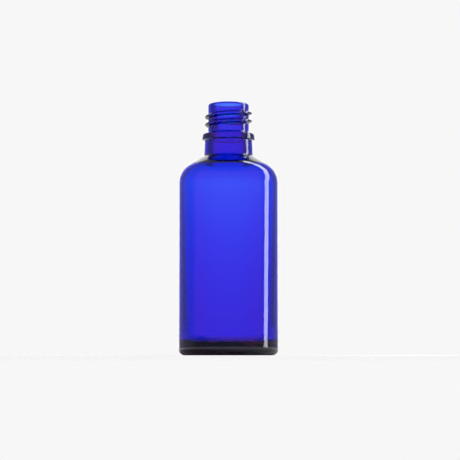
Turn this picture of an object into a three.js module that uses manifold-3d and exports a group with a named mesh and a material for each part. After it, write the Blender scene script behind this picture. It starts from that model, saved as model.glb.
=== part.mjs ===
// Screw-neck glass bottle for an atomiser: one moulded piece of cobalt-blue glass.
// Millimetres, +Z up, origin at the bottom centre of the bearing ring.

import * as THREE from 'three';
import { mergeVertices } from 'three/addons/utils/BufferGeometryUtils.js';
import Module from 'manifold-3d';

const wasm = await Module();
wasm.setup();

// ---- Driving dimensions ----

// Body
const bodyDiameter = 37.7;
const shoulderStart = 65.25;      // height where the straight wall ends
const heelRadius = 2.4;           // rounding between the wall and the bearing ring
const pushUpDiameter = 25.0;      // inner edge of the flat bearing ring
const pushUpHeight = 1.6;         // how far the base is domed inward

// Shoulder
const shoulderRadius = 8.4;       // arc that turns the wall inward
const shoulderSlope = 29.5;       // degrees above horizontal where the arc ends
const neckFillet = 2.0;           // hollow rounding from the shoulder into the neck

// Neck below the transfer bead
const neckBaseDiameter = 18.5;
const neckTopDiameter = 18.1;
const neckHeight = 4.75;          // from the end of the fillet to the underside of the bead

// Transfer bead
const beadDiameter = 20.3;
const beadSideHeight = 1.75;      // the nearly upright side of the bead
const beadSideDraft = 0.3;        // how much narrower, per side, the side gets upwards
const beadEdgeRadius = 0.55;
const beadCrownRise = 0.65;       // height of the sloping top of the bead

// Threaded finish, GL 18
const coreDiameter = 15.6;
const finishHeight = 11.1;        // from the top of the bead to the sealing lip
const lipRoundingWidth = 0.8;
const lipRoundingHeight = 0.8;
const threadHeight = 1.2;
const threadFootWidth = 2.7;      // width of the ridge where it is buried in the core
const threadFootDepth = 0.6;
const threadShoulderWidth = 1.2;  // width where the flanks round over to the crest
const threadShoulderDrop = 0.28;
const threadCrestWidth = 0.5;
const threadEndDepth = 0.25;      // how deep the crest dips under the core at each end
const threadPitch = 3.0;
const threadStartAbove = 2.35;    // thread centre line above the bead's top, at its lower end
const threadStartAngle = 110;     // degrees, counter-clockwise from +X seen from above
const threadSweep = 680;          // degrees of thread, with its run-outs
const threadRunOut = 45;          // degrees over which each end of the thread fades

// Inside
const wallAtShoulder = 1.5;       // the wall thickens evenly from here
const wallAtFloor = 2.65;         // down to here
const wallTaperDrop = 4.0;        // how far below the shoulder the even taper starts
const shoulderThickness = 1.3;
const innerShoulderDrop = 0.3;    // how far lower the inner shoulder starts than the outer one
const innerShoulderSlope = 27.5;  // degrees; flatter than outside, so the glass thickens to the neck
const baseThickness = 3.25;       // glass above the top of the push-up
const floorCrown = 0.6;           // how much higher the floor is in the middle
const floorCornerRadius = 1.8;
const boreDiameter = 11.3;        // inside the threaded finish
const throatDiameter = 12.9;      // inside the neck, below the bead; it narrows to the bore within the bead
const throatFillet = 2.2;         // rounding from the throat to the inside of the shoulder
const mouthRounding = 0.7;
// Most of the finish's wall that each rounding of the lip may take, so a flat lip is left between them
const lipRoundingShare = 0.5;
const mouthRoundingShare = 0.35;

// Mesh fineness
const facetsAround = 56;
const arcSteps = 4;

const radians = THREE.MathUtils.degToRad;

// ---- Sizes worked out from the driving dimensions ----

const bodyRadius = bodyDiameter / 2;
const coreRadius = coreDiameter / 2;
const boreRadius = boreDiameter / 2;
const finishWall = coreRadius - boreRadius;
const outerShoulder = shoulder(
  shoulderStart, bodyRadius, shoulderRadius, shoulderSlope, neckBaseDiameter / 2, neckFillet,
);
const neckBottom = outerShoulder.at(-1).y;
const beadBottom = neckBottom + neckHeight;
const beadTop = beadBottom + beadSideHeight + beadEdgeRadius + beadCrownRise;
const lipTop = beadTop + finishHeight;
const floorHeight = pushUpHeight + baseThickness;

// ---- Outline helpers: points are (radius, height) ----

function arc(centreRadius, centreHeight, radiusAcross, radiusUp, fromAngle, toAngle) {
  const curve = new THREE.EllipseCurve(
    centreRadius, centreHeight, radiusAcross, radiusUp,
    radians(fromAngle), radians(toAngle), toAngle < fromAngle,
  );
  return curve.getPoints(arcSteps);
}

// A wall's turn inward, its straight cone, and the fillet up into the neck, from the bottom.
function shoulder(start, wallRadius, arcRadius, slopeDegrees, neckRadius, filletRadius) {
  const slope = radians(slopeDegrees);
  const coneFootRadius = wallRadius - arcRadius * (1 - Math.sin(slope));
  const coneHeadRadius = neckRadius + filletRadius * (1 - Math.sin(slope));
  const coneRise = (coneFootRadius - coneHeadRadius) * Math.tan(slope);
  const top = start + (arcRadius + filletRadius) * Math.cos(slope) + coneRise;
  return [
    ...arc(wallRadius - arcRadius, start, arcRadius, arcRadius, 0, 90 - slopeDegrees),
    ...arc(neckRadius + filletRadius, top, filletRadius, filletRadius, 270 - slopeDegrees, 180),
  ];
}

// A shallow dome from the axis out to a given radius.
function dome(centreHeight, edgeRadius, edgeHeight) {
  const rise = centreHeight - edgeHeight;
  const sphereRadius = (edgeRadius ** 2 + rise ** 2) / (2 * rise);
  const halfAngle = THREE.MathUtils.radToDeg(Math.asin(edgeRadius / sphereRadius));
  return arc(0, centreHeight - sphereRadius, sphereRadius, sphereRadius, 90, 90 - halfAngle);
}

function outerOutline() {
  const neckTopRadius = neckTopDiameter / 2;
  const beadRadius = beadDiameter / 2;
  const beadEdgeCentre = beadRadius - beadSideDraft - beadEdgeRadius;
  const beadSideTop = beadBottom + beadSideHeight;
  const lipWidth = Math.min(lipRoundingWidth, finishWall * lipRoundingShare);
  return [
    ...dome(pushUpHeight, pushUpDiameter / 2, 0),
    ...arc(bodyRadius - heelRadius, heelRadius, heelRadius, heelRadius, -90, 0),
    ...outerShoulder,
    new THREE.Vector2(neckTopRadius, beadBottom),
    new THREE.Vector2(beadRadius, beadBottom),
    ...arc(beadEdgeCentre, beadSideTop, beadEdgeRadius, beadEdgeRadius, 0, 70),
    new THREE.Vector2(coreRadius, beadTop),
    ...arc(coreRadius - lipWidth, lipTop - lipRoundingHeight, lipWidth, lipRoundingHeight, 0, 90),
    new THREE.Vector2(0, lipTop),
  ];
}

function cavityOutline() {
  const wallFootRadius = bodyRadius - wallAtFloor;
  const innerShoulder = shoulder(
    shoulderStart - innerShoulderDrop, bodyRadius - shoulderThickness, shoulderRadius - shoulderThickness,
    innerShoulderSlope, throatDiameter / 2, throatFillet,
  );
  const cornerRadius = floorCornerRadius;
  const cornerCentre = wallFootRadius - cornerRadius;
  const floorEdge = floorHeight - floorCrown;
  const mouthEdge = Math.min(mouthRounding, finishWall * mouthRoundingShare);
  const mouthRadius = boreRadius + mouthEdge;
  return [
    ...dome(floorHeight, cornerCentre, floorEdge),
    ...arc(cornerCentre, floorEdge + cornerRadius, cornerRadius, cornerRadius, -90, 0).slice(1),
    new THREE.Vector2(bodyRadius - wallAtShoulder, shoulderStart - wallTaperDrop),
    ...innerShoulder,
    new THREE.Vector2(throatDiameter / 2, beadBottom),
    new THREE.Vector2(boreRadius, beadTop),
    ...arc(mouthRadius, lipTop - mouthEdge, mouthEdge, mouthEdge, 180, 90),
    new THREE.Vector2(mouthRadius, lipTop + mouthEdge),
    new THREE.Vector2(0, lipTop + mouthEdge),
  ];
}

// ---- Solids ----

function toManifold(geometry) {
  geometry.deleteAttribute('normal');
  geometry.deleteAttribute('uv');
  const merged = mergeVertices(geometry, 1e-4);
  return new wasm.Manifold(new wasm.Mesh({
    numProp: 3,
    vertProperties: new Float32Array(merged.attributes.position.array),
    triVerts: new Uint32Array(merged.index.array),
  }));
}

function fromManifold(manifold) {
  const mesh = manifold.getMesh();
  const geometry = new THREE.BufferGeometry();
  geometry.setAttribute('position', new THREE.BufferAttribute(mesh.vertProperties, 3));
  geometry.setIndex(new THREE.BufferAttribute(mesh.triVerts, 1));
  geometry.computeVertexNormals();
  return geometry;
}

// Revolves an outline about +Z.
function revolve(outline) {
  const geometry = new THREE.LatheGeometry(outline, facetsAround);
  geometry.rotateX(Math.PI / 2);
  return toManifold(geometry);
}

// Corners of one section of the thread: distance out from the core, and height about its centre line.
// At the crest heights below zero the whole section is buried, which ends the thread.
function threadSection(crest) {
  return [
    [-threadFootDepth, -threadFootWidth / 2],
    [crest - threadShoulderDrop, -threadShoulderWidth / 2],
    [crest, -threadCrestWidth / 2],
    [crest, threadCrestWidth / 2],
    [crest - threadShoulderDrop, threadShoulderWidth / 2],
    [-threadFootDepth, threadFootWidth / 2],
  ];
}

// Height of the crest above the core at a share of the thread's length: it fades out at both ends.
function threadCrest(share) {
  const runOutShare = threadRunOut / threadSweep;
  const nearestEnd = Math.min(share, 1 - share) / runOutShare;
  const fullness = THREE.MathUtils.smoothstep(nearestEnd, 0, 1);
  return THREE.MathUtils.lerp(-threadEndDepth, threadHeight, fullness);
}

// The right-handed external thread, as a ridge wound round the core and closed at both ends.
// Its sections stand midway between the core's facet edges, so the two surfaces cross cleanly.
function thread() {
  const facetAngle = 360 / facetsAround;
  const startAngle = (Math.round(threadStartAngle / facetAngle) + 0.5) * facetAngle;
  const steps = Math.round(threadSweep / facetAngle);
  const corners = threadSection(threadHeight).length;
  const positions = [];
  const triangles = [];
  for (let step = 0; step <= steps; step += 1) {
    const angle = radians(startAngle + step * facetAngle);
    const height = beadTop + threadStartAbove + threadPitch * step / facetsAround;
    for (const [outward, upward] of threadSection(threadCrest(step / steps))) {
      const radius = coreRadius + outward;
      positions.push(radius * Math.cos(angle), radius * Math.sin(angle), height + upward);
    }
  }
  for (let step = 0; step < steps; step += 1) {
    const here = step * corners;
    const there = here + corners;
    for (let corner = 0; corner < corners; corner += 1) {
      const next = (corner + 1) % corners;
      triangles.push(here + corner, there + next, here + next);
      triangles.push(here + corner, there + corner, there + next);
    }
  }
  const last = steps * corners;
  for (let corner = 1; corner < corners - 1; corner += 1) {
    triangles.push(0, corner, corner + 1);
    triangles.push(last, last + corner + 1, last + corner);
  }
  const geometry = new THREE.BufferGeometry();
  geometry.setAttribute('position', new THREE.Float32BufferAttribute(positions, 3));
  geometry.setIndex(triangles);
  return toManifold(geometry);
}

function cobaltGlass() {
  return new THREE.MeshStandardMaterial({ color: 0x2a35c8, roughness: 0.04, metalness: 0.0 });
}

function glassBottle() {
  const solid = revolve(outerOutline()).add(thread()).subtract(revolve(cavityOutline()));
  const mesh = new THREE.Mesh(fromManifold(solid), cobaltGlass());
  mesh.name = 'glass_bottle';
  return mesh;
}

const atomiserBottle = new THREE.Group();
atomiserBottle.add(glassBottle());

export default atomiserBottle;
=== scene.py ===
"""Looks of the cobalt-blue screw-neck bottle: one smooth shell of glass in a plain pale studio."""

import math

import bpy
from mathutils import Matrix, Vector


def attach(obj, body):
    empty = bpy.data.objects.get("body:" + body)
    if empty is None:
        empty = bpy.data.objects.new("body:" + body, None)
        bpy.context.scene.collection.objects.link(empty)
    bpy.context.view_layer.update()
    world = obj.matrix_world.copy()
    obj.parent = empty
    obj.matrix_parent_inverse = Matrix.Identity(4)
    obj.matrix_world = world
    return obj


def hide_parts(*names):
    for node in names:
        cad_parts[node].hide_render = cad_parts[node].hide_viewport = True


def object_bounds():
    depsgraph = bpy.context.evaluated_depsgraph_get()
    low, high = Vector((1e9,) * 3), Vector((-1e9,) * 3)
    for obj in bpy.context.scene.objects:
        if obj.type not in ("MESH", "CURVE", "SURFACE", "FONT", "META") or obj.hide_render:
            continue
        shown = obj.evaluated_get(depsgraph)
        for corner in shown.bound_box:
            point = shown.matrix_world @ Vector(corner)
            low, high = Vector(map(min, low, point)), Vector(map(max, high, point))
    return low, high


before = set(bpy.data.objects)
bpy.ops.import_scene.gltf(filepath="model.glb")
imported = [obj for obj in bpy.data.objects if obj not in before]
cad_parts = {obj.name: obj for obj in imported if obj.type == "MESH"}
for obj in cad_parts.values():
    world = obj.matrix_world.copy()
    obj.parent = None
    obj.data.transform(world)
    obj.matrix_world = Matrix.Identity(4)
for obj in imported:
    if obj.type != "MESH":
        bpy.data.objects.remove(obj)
cad_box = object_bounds()

MM = 0.001

# ---- Sizes of the glass, in millimetres ----

CAD_LOW, CAD_HIGH = cad_box
BODY_RADIUS = (CAD_HIGH[0] - CAD_LOW[0]) / 2 / MM
LIP_TOP = CAD_HIGH[2] / MM

SHOULDER_START = 65.25            # top of the straight wall
HEEL_RADIUS = 2.4                 # rounding of the bottom corner
PUSH_UP_RADIUS = 12.5             # the shallow dome under the base
PUSH_UP_HEIGHT = 1.6

SHOULDER_RADIUS = 8.4             # arc from the wall to the cone
SHOULDER_SLOPE = 29.5             # the cone's slope in degrees
NECK_FILLET = 2.0

NECK_BASE_RADIUS = 9.25
NECK_TOP_RADIUS = 9.05
NECK_HEIGHT = 4.75                # from the fillet to the bead
UNDERCUT_ROUND = 0.3              # where the neck meets the bead

BEAD_RADIUS = 10.15
BEAD_SIDE_HEIGHT = 1.75
BEAD_SIDE_DRAFT = 0.3             # how far the side leans in
BEAD_EDGE_RADIUS = 0.55           # rounding of the upper edge
BEAD_LOWER_EDGE = 0.4             # rounding of the lower edge
BEAD_CROWN_RISE = 0.65            # from the upper edge in to the core
BEAD_CROWN_FILLET = 0.5

CORE_RADIUS = 7.8                 # the neck that carries the thread
PLAIN_CORE = 1.0                  # plain stretch of core above the bead, below the thread
LIP_ROUND_WIDTH = 0.8
LIP_ROUND_HEIGHT = 0.8

THREAD_HEIGHT = 1.2               # how far the crest stands out of the core
THREAD_HALF_WIDTH = 1.15
THREAD_CREST_HALF = 0.18
THREAD_PITCH = 3.0
THREAD_START_ABOVE = 2.35         # centre of the thread's lower end, above the bead
THREAD_START_ANGLE = 110.0        # degrees, counter-clockwise from +X seen from above
THREAD_SWEEP = 680.0              # degrees
THREAD_RUN_OUT = 45.0             # degrees over which each end fades

WALL_AT_SHOULDER = 1.5            # the wall thickens evenly from here
WALL_AT_FLOOR = 2.65              # down to here
INNER_SHOULDER_START = SHOULDER_START - 0.3
INNER_SHOULDER_RADIUS = 7.1
INNER_SHOULDER_SLOPE = 27.5       # flatter than outside, so the glass thickens to the neck
FLOOR_HEIGHT = 4.85               # top of the floor in its middle
FLOOR_CROWN = 0.6
FLOOR_CORNER = 1.8
BORE_RADIUS = 5.65                # inside the threaded finish
THROAT_RADIUS = 6.45              # inside the neck, below the bead
THROAT_FILLET = 2.2
THROAT_STEP_ROUND = 1.5           # both roundings of the step from throat to bore
MOUTH_ROUND = 0.7

# Fineness of the mesh: vertices round each ring, and millimetres between rings
AROUND = 240
COARSE_STEP = 1.0
STEP = 0.5
CORNER_STEP = 0.3
HEEL_STEP = 0.25
FINE_STEP = 0.2
LIP_STEP = 0.1
MOUTH_STEP = 0.08
THREAD_STEP = 0.06
LEAST_ARC_STEPS = 4
SAME_POINT = 1e-4                 # points closer than this are one
SAME_RADIUS = 1e-3                # rings this close to the core's radius lie on the core

# Loss of red, green and blue light in a millimetre of the glass, as natural logarithms
GLASS_LOSS = (1.7, 1.0, 0.135)
GLASS_IOR = 1.52

# Unevenness that the mould leaves in the skin: waves per metre, finer octaves, share, and depth
WAVE_SCALE = 160.0
WAVE_DETAIL = 2.0
WAVE_STRENGTH = 0.3
WAVE_DEPTH = 0.08


# ---- Outline helpers: points are (radius, height) in millimetres ----

def arc(centre, radii, start, end, step=STEP):
    """Points of an elliptical arc, from one angle to another in degrees."""
    length = math.radians(abs(end - start)) * max(radii)
    count = max(LEAST_ARC_STEPS, math.ceil(length / step))
    points = []
    for index in range(count + 1):
        angle = math.radians(start + (end - start) * index / count)
        points.append((centre[0] + radii[0] * math.cos(angle), centre[1] + radii[1] * math.sin(angle)))
    return points


def straight(start, end, step=STEP):
    """Points between two ends, without the ends themselves."""
    count = max(1, math.ceil(math.dist(start, end) / step))
    return [
        (start[0] + (end[0] - start[0]) * i / count, start[1] + (end[1] - start[1]) * i / count)
        for i in range(1, count)
    ]


def shoulder(wall_radius, start, radius, slope, neck_radius, fillet):
    """A wall's turn inward, its straight cone, and the fillet up into the neck, from the bottom."""
    steep = math.radians(slope)
    cone_foot = (wall_radius - radius * (1 - math.sin(steep)), start + radius * math.cos(steep))
    cone_run = cone_foot[0] - neck_radius - fillet * (1 - math.sin(steep))
    top = cone_foot[1] + cone_run * math.tan(steep) + fillet * math.cos(steep)
    turn = arc((wall_radius - radius, start), (radius, radius), 0, 90 - slope)
    neck = arc((neck_radius + fillet, top), (fillet, fillet), 270 - slope, 180, FINE_STEP)
    return turn + straight(turn[-1], neck[0]) + neck


def rounded(points, step=STEP):
    """Joins corner points (radius, height, rounding) with straights and tangent arcs."""
    outline = [points[0][:2]]
    for before, corner, after in zip(points, points[1:], points[2:]):
        here = Vector(corner[:2])
        back = (Vector(before[:2]) - here).normalized()
        ahead = (Vector(after[:2]) - here).normalized()
        rounding = corner[2]
        if rounding == 0:
            target = [tuple(here)]
        else:
            half = back.angle(ahead) / 2
            reach = rounding / math.tan(half)
            centre = here + (back + ahead).normalized() * (rounding / math.sin(half))
            first = here + back * reach
            last = here + ahead * reach
            start = math.atan2(first.y - centre.y, first.x - centre.x)
            end = math.atan2(last.y - centre.y, last.x - centre.x)
            turn = (end - start + math.pi) % (2 * math.pi) - math.pi
            target = arc(centre, (rounding, rounding), math.degrees(start), math.degrees(start + turn),
                         min(step, rounding / 3))
        outline += straight(outline[-1], target[0], step) + target
    outline += straight(outline[-1], points[-1][:2], step)
    outline.append(points[-1][:2])
    return outline


OUTER_SHOULDER = shoulder(BODY_RADIUS, SHOULDER_START, SHOULDER_RADIUS, SHOULDER_SLOPE,
                          NECK_BASE_RADIUS, NECK_FILLET)
NECK_BOTTOM = OUTER_SHOULDER[-1][1]
BEAD_BOTTOM = NECK_BOTTOM + NECK_HEIGHT
BEAD_SIDE_TOP = BEAD_BOTTOM + BEAD_SIDE_HEIGHT
BEAD_TOP = BEAD_SIDE_TOP + BEAD_EDGE_RADIUS + BEAD_CROWN_RISE


def outer_outline():
    """From the middle of the push-up, out and up to the top of the lip."""
    sphere = (PUSH_UP_RADIUS ** 2 + PUSH_UP_HEIGHT ** 2) / (2 * PUSH_UP_HEIGHT)
    edge_angle = math.degrees(math.asin(PUSH_UP_RADIUS / sphere))
    points = arc((0, PUSH_UP_HEIGHT - sphere), (sphere, sphere), 90, 90 - edge_angle)
    points += straight(points[-1], (BODY_RADIUS - HEEL_RADIUS, 0))
    points += arc((BODY_RADIUS - HEEL_RADIUS, HEEL_RADIUS), (HEEL_RADIUS, HEEL_RADIUS), -90, 0, HEEL_STEP)
    points += straight(points[-1], OUTER_SHOULDER[0], COARSE_STEP) + OUTER_SHOULDER
    finish = rounded([
        (NECK_BASE_RADIUS, NECK_BOTTOM, 0),
        (NECK_TOP_RADIUS, BEAD_BOTTOM, UNDERCUT_ROUND),
        (BEAD_RADIUS, BEAD_BOTTOM, BEAD_LOWER_EDGE),
        (BEAD_RADIUS - BEAD_SIDE_DRAFT, BEAD_SIDE_TOP + BEAD_EDGE_RADIUS, BEAD_EDGE_RADIUS),
        (CORE_RADIUS, BEAD_TOP, BEAD_CROWN_FILLET),
        (CORE_RADIUS, BEAD_TOP + PLAIN_CORE, 0),
    ], FINE_STEP)
    points += finish[1:]
    lip = arc((CORE_RADIUS - LIP_ROUND_WIDTH, LIP_TOP - LIP_ROUND_HEIGHT),
              (LIP_ROUND_WIDTH, LIP_ROUND_HEIGHT), 0, 90, LIP_STEP)
    points += straight(points[-1], lip[0], THREAD_STEP) + lip
    return points


def inner_outline():
    """From the top of the lip, down the bore and out to the middle of the floor."""
    wall_top = BODY_RADIUS - WALL_AT_SHOULDER
    wall_foot = BODY_RADIUS - WALL_AT_FLOOR
    inside = shoulder(wall_top, INNER_SHOULDER_START, INNER_SHOULDER_RADIUS, INNER_SHOULDER_SLOPE,
                      THROAT_RADIUS, THROAT_FILLET)
    corner = wall_foot - FLOOR_CORNER
    floor_edge = FLOOR_HEIGHT - FLOOR_CROWN
    mouth = BORE_RADIUS + MOUTH_ROUND
    points = arc((mouth, LIP_TOP - MOUTH_ROUND), (MOUTH_ROUND, MOUTH_ROUND), 90, 180, MOUTH_STEP)
    points += rounded([
        (BORE_RADIUS, LIP_TOP - MOUTH_ROUND, 0),
        (BORE_RADIUS, BEAD_TOP, THROAT_STEP_ROUND),
        (THROAT_RADIUS, BEAD_BOTTOM, THROAT_STEP_ROUND),
        (*inside[-1], 0),
    ])[1:-1] + inside[::-1]
    points += straight(points[-1], (wall_foot, floor_edge + FLOOR_CORNER), COARSE_STEP)
    points += arc((corner, floor_edge + FLOOR_CORNER), (FLOOR_CORNER, FLOOR_CORNER), 0, -90, CORNER_STEP)
    sphere = (corner ** 2 + FLOOR_CROWN ** 2) / (2 * FLOOR_CROWN)
    edge_angle = math.degrees(math.asin(corner / sphere))
    points += arc((0, FLOOR_HEIGHT - sphere), (sphere, sphere), 90 - edge_angle, 90)[1:]
    return points


# ---- The thread, as a smooth ridge raised from the core ----

def smooth(value):
    """Eases a share from 0 to 1, and holds it between them."""
    value = min(1.0, max(0.0, value))
    return value * value * (3 - 2 * value)


def thread_rise(angle, height):
    """How far the thread stands out of the core at an angle in degrees and a height in millimetres."""
    rise = 0.0
    turns = math.ceil(THREAD_SWEEP / 360) + 1
    for turn in range(turns):
        along = (angle - THREAD_START_ANGLE) % 360 + 360 * turn
        if along > THREAD_SWEEP:
            continue
        centre = BEAD_TOP + THREAD_START_ABOVE + THREAD_PITCH * along / 360
        away = abs(height - centre)
        if away >= THREAD_HALF_WIDTH:
            continue
        fade = smooth(min(along, THREAD_SWEEP - along) / THREAD_RUN_OUT)
        side = (THREAD_HALF_WIDTH - away) / (THREAD_HALF_WIDTH - THREAD_CREST_HALF)
        rise = max(rise, THREAD_HEIGHT * fade * smooth(side))
    return rise


# ---- The glass shell ----

def glass_mesh(name):
    """One closed shell: outside, over the lip and down the inside."""
    outer = outer_outline()
    inner = inner_outline()
    outline = []
    for point in outer + inner:
        if not outline or math.dist(point, outline[-1]) > SAME_POINT:
            outline.append(point)
    last_outer = len(outer)
    vertices = []
    rings = []
    for index, (radius, height) in enumerate(outline):
        if radius < SAME_POINT:
            rings.append([len(vertices)])
            vertices.append((0.0, 0.0, height * MM))
            continue
        threaded = index < last_outer and height > BEAD_TOP and abs(radius - CORE_RADIUS) < SAME_RADIUS
        ring = []
        for step in range(AROUND):
            angle = 360 * step / AROUND
            reach = radius + (thread_rise(angle, height) if threaded else 0.0)
            turn = math.radians(angle)
            ring.append(len(vertices))
            vertices.append((reach * MM * math.cos(turn), reach * MM * math.sin(turn), height * MM))
        rings.append(ring)
    faces = []
    for lower, upper in zip(rings, rings[1:]):
        for step in range(AROUND):
            ahead = (step + 1) % AROUND
            if len(lower) == 1:
                faces.append((lower[0], upper[ahead], upper[step]))
            elif len(upper) == 1:
                faces.append((lower[step], lower[ahead], upper[0]))
            else:
                faces.append((lower[step], lower[ahead], upper[ahead], upper[step]))
    mesh = bpy.data.meshes.new(name)
    mesh.from_pydata(vertices, [], faces)
    mesh.validate()
    mesh.shade_smooth()
    return mesh


def cobalt_glass():
    """Clear fire-polished glass: the colour is in its depth, and the moulded skin is faintly uneven."""
    material = bpy.data.materials.new("cobalt_glass")
    material.use_nodes = True
    nodes = material.node_tree.nodes
    links = material.node_tree.links
    nodes.clear()
    output = nodes.new("ShaderNodeOutputMaterial")
    shader = nodes.new("ShaderNodeBsdfPrincipled")
    shader.inputs["Base Color"].default_value = (1.0, 1.0, 1.0, 1.0)
    shader.inputs["Roughness"].default_value = 0.0
    shader.inputs["IOR"].default_value = GLASS_IOR
    shader.inputs["Transmission Weight"].default_value = 1.0
    waves = nodes.new("ShaderNodeTexNoise")
    waves.inputs["Scale"].default_value = WAVE_SCALE
    waves.inputs["Detail"].default_value = WAVE_DETAIL
    relief = nodes.new("ShaderNodeBump")
    relief.inputs["Strength"].default_value = WAVE_STRENGTH
    relief.inputs["Distance"].default_value = WAVE_DEPTH * MM
    place = nodes.new("ShaderNodeTexCoord")
    links.new(place.outputs["Object"], waves.inputs["Vector"])
    links.new(waves.outputs["Fac"], relief.inputs["Height"])
    links.new(relief.outputs["Normal"], shader.inputs["Normal"])
    depth = nodes.new("ShaderNodeVolumeAbsorption")
    depth.inputs["Color"].default_value = (*[1 - loss / max(GLASS_LOSS) for loss in GLASS_LOSS], 1.0)
    depth.inputs["Density"].default_value = max(GLASS_LOSS) / MM
    links.new(shader.outputs["BSDF"], output.inputs["Surface"])
    links.new(depth.outputs["Volume"], output.inputs["Volume"])
    return material


def make_bottle():
    bottle = bpy.data.objects.new("cobalt_bottle", glass_mesh("cobalt_bottle"))
    bpy.context.scene.collection.objects.link(bottle)
    bottle.data.materials.append(cobalt_glass())
    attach(bottle, "root")
    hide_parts("glass_bottle")


# ---- The studio: metres, degrees and linear brightness ----

CAMERA_DISTANCE = 0.62
CAMERA_HEIGHT = 0.0004
VIEW_WIDTH = 0.174                            # width of the view at the bottle
AIM_HEIGHT = 0.0474
AIM_SIDE = 0.00057
SENSOR = 36.0                                 # millimetres

FLOOR_REACH = 0.9
FLOOR_FADE = (0.25, 0.6)                      # the floor fades out between these distances
FLOOR_COLOUR = (0.65, 0.755, 0.715)           # leans to green, to balance the rose front
# Strength of the floor's painted glow: light the floor gives off itself, from no lamp
PAINTED_FLOOR_GLOW = 0.48
PAINTED_SHADOW_TO_GLOW = (0.02, 0.06)                # the painted glow comes up between these distances; nearer the bottle the floor lacks it, as a painted contact shadow

# Angles below are from straight behind the bottle, or up from the horizon; a pair is a soft edge
BACKGROUND = 0.93                             # what the camera sees of the room
BACKDROP = 1.55
BACKDROP_SIDE = (19, 26)                      # from behind
BACKDROP_TOP = (34, 42)                       # up
SIDES_LOW = (0.38, 0.33, 0.50)
SIDES = (0.36, 0.34, 0.54)
SIDES_FADE = (0.9, 2.2)                       # up, from SIDES_LOW to SIDES
SIDES_END = (85, 105)                         # from behind
FRONT = (0.97, 0.40, 0.47)
FRONT_DARK = 0.20
FRONT_FOOT = (0.38, 0.62)                     # up, from FRONT_DARK to FRONT
CEILING = 0.3
CEILING_EDGE = (30, 60)                       # up, where sides and front meet the ceiling

# A long softbox that leans from the right, over and behind the bottle
STRIP_FOOT = (0.87, 0.0, -0.135)              # below the level of the floor
STRIP_HEAD = (0.21, 0.39, 0.90)
STRIP_AIM = (0.0, 0.0, 0.05)
STRIP_WIDTH = 0.155
STRIP_RADIANCE = 6.5

LIGHT_BOUNCES = 32
GLOSSY_BOUNCES = 16

# Places of the colour sockets on a Mix node
MIX_FIRST = 6
MIX_SECOND = 7
MIX_RESULT = 2


class Graph:
    """A node tree with short calls for the few sums that the studio needs."""

    def __init__(self, tree):
        self.nodes = tree.nodes
        self.links = tree.links
        self.nodes.clear()

    def add(self, kind, **settings):
        node = self.nodes.new(kind)
        for name, value in settings.items():
            setattr(node, name, value)
        return node

    def feed(self, socket, value):
        if isinstance(value, bpy.types.NodeSocket):
            self.links.new(value, socket)
        else:
            socket.default_value = value

    def sum(self, operation, *values):
        node = self.add("ShaderNodeMath", operation=operation)
        for socket, value in zip(node.inputs, values):
            self.feed(socket, value)
        return node.outputs[0]

    def rise(self, value, limits):
        """Runs smoothly from 0 to 1 as the value goes from the first limit to the second."""
        node = self.add("ShaderNodeMapRange", interpolation_type="SMOOTHSTEP")
        self.feed(node.inputs["Value"], value)
        node.inputs["From Min"].default_value = limits[0]
        node.inputs["From Max"].default_value = limits[1]
        return node.outputs["Result"]

    def mix(self, share, first, second):
        node = self.add("ShaderNodeMix", data_type="RGBA")
        self.feed(node.inputs["Factor"], share)
        for socket, value in ((node.inputs[MIX_FIRST], first), (node.inputs[MIX_SECOND], second)):
            if isinstance(value, (int, float)):
                value = (value, value, value)
            if isinstance(value, tuple):
                value = (*value, 1.0)
            self.feed(socket, value)
        return node.outputs[MIX_RESULT]


def make_floor():
    """A pale matt floor with a painted glow round the bottle, left off right beside it as a painted
    contact shadow, that fades into the background.
    """
    material = bpy.data.materials.new("pale_floor")
    material.use_nodes = True
    graph = Graph(material.node_tree)
    place = graph.add("ShaderNodeTexCoord")
    length = graph.add("ShaderNodeVectorMath", operation="LENGTH")
    graph.feed(length.inputs[0], place.outputs["Object"])
    distance = length.outputs["Value"]
    matt = graph.add("ShaderNodeBsdfDiffuse")
    matt.inputs["Color"].default_value = (*FLOOR_COLOUR, 1.0)
    # Painted glow: emission that stands in for light on the floor, kept off close to the bottle to leave
    # a painted contact shadow
    painted_glow = graph.add("ShaderNodeEmission")
    graph.feed(painted_glow.inputs["Strength"],
               graph.sum("MULTIPLY", graph.rise(distance, PAINTED_SHADOW_TO_GLOW), PAINTED_FLOOR_GLOW))
    lit_plus_painted_glow = graph.add("ShaderNodeAddShader")
    graph.feed(lit_plus_painted_glow.inputs[0], matt.outputs[0])
    graph.feed(lit_plus_painted_glow.inputs[1], painted_glow.outputs[0])
    clear = graph.add("ShaderNodeBsdfTransparent")
    fading = graph.add("ShaderNodeMixShader")
    graph.feed(fading.inputs[0], graph.rise(distance, FLOOR_FADE))
    graph.feed(fading.inputs[1], lit_plus_painted_glow.outputs[0])
    graph.feed(fading.inputs[2], clear.outputs[0])
    output = graph.add("ShaderNodeOutputMaterial")
    graph.feed(output.inputs["Surface"], fading.outputs[0])
    mesh = bpy.data.meshes.new("floor")
    reach = FLOOR_REACH
    mesh.from_pydata([(-reach, -reach, 0), (reach, -reach, 0), (reach, reach, 0), (-reach, reach, 0)],
                     [], [(0, 1, 2, 3)])
    floor = bpy.data.objects.new("floor", mesh)
    bpy.context.scene.collection.objects.link(floor)
    floor.data.materials.append(material)


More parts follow.
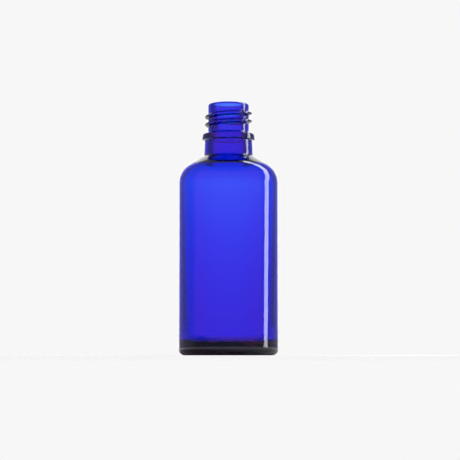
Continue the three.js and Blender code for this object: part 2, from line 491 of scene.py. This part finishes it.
def make_world():
    """Bright-field lighting: a bright backdrop, dimmer sides and ceiling, and a rose wall in front."""
    world = bpy.data.worlds.new("studio")
    bpy.context.scene.world = world
    world.use_nodes = True
    graph = Graph(world.node_tree)
    place = graph.add("ShaderNodeTexCoord")
    split = graph.add("ShaderNodeSeparateXYZ")
    graph.feed(split.inputs[0], place.outputs["Generated"])
    side = graph.sum("ABSOLUTE", split.outputs["X"])
    turn = graph.sum("DEGREES", graph.sum("ARCTAN2", side, split.outputs["Y"]))
    height = graph.sum("DEGREES", graph.sum("ARCSINE", split.outputs["Z"]))
    front = graph.mix(graph.rise(height, FRONT_FOOT), FRONT_DARK, FRONT)
    front = graph.mix(graph.rise(height, CEILING_EDGE), front, CEILING)
    sides = graph.mix(graph.rise(height, SIDES_FADE), SIDES_LOW, SIDES)
    sides = graph.mix(graph.rise(height, CEILING_EDGE), sides, CEILING)
    around = graph.mix(graph.rise(turn, SIDES_END), sides, front)
    backdrop = graph.mix(graph.rise(height, BACKDROP_TOP), BACKDROP, CEILING)
    around = graph.mix(graph.rise(turn, BACKDROP_SIDE), backdrop, around)
    rays = graph.add("ShaderNodeLightPath")
    shown = graph.mix(rays.outputs["Is Camera Ray"], around, BACKGROUND)
    sky = graph.add("ShaderNodeBackground")
    graph.feed(sky.inputs["Color"], shown)
    output = graph.add("ShaderNodeOutputWorld")
    graph.feed(output.inputs["Surface"], sky.outputs[0])


def strip_light(name, foot, head, width, radiance):
    """A long softbox facing the bottle. It is hidden from the camera and from rays through the glass."""
    foot, head = Vector(foot), Vector(head)
    along = head - foot
    middle = (foot + head) / 2
    facing = Vector(STRIP_AIM) - middle
    facing -= along.normalized() * facing.dot(along.normalized())
    facing.normalize()
    data = bpy.data.lights.new(name, "AREA")
    data.shape = "RECTANGLE"
    data.size = width
    data.size_y = along.length
    data.energy = radiance * math.pi * width * along.length
    lamp = bpy.data.objects.new(name, data)
    bpy.context.scene.collection.objects.link(lamp)
    up = along.normalized()
    back = -facing
    right = up.cross(back)
    lamp.matrix_world = Matrix((right, up, back)).transposed().to_4x4()
    lamp.location = middle
    lamp.visible_camera = False
    lamp.visible_transmission = False


def make_lights():
    strip_light("leaning_softbox", STRIP_FOOT, STRIP_HEAD, STRIP_WIDTH, STRIP_RADIANCE)


def make_camera():
    data = bpy.data.cameras.new("camera")
    data.sensor_width = SENSOR
    data.lens = SENSOR * CAMERA_DISTANCE / VIEW_WIDTH
    camera = bpy.data.objects.new("camera", data)
    bpy.context.scene.collection.objects.link(camera)
    camera.location = (AIM_SIDE, -CAMERA_DISTANCE, CAMERA_HEIGHT)
    aim = Vector((AIM_SIDE, 0, AIM_HEIGHT)) - camera.location
    camera.rotation_euler = aim.to_track_quat("-Z", "Y").to_euler()
    bpy.context.scene.camera = camera


def set_scene():
    scene = bpy.context.scene
    scene.view_settings.view_transform = "Standard"
    scene.cycles.max_bounces = LIGHT_BOUNCES
    scene.cycles.transmission_bounces = LIGHT_BOUNCES
    scene.cycles.glossy_bounces = GLOSSY_BOUNCES


make_bottle()
make_floor()
make_world()
make_lights()
make_camera()
set_scene()
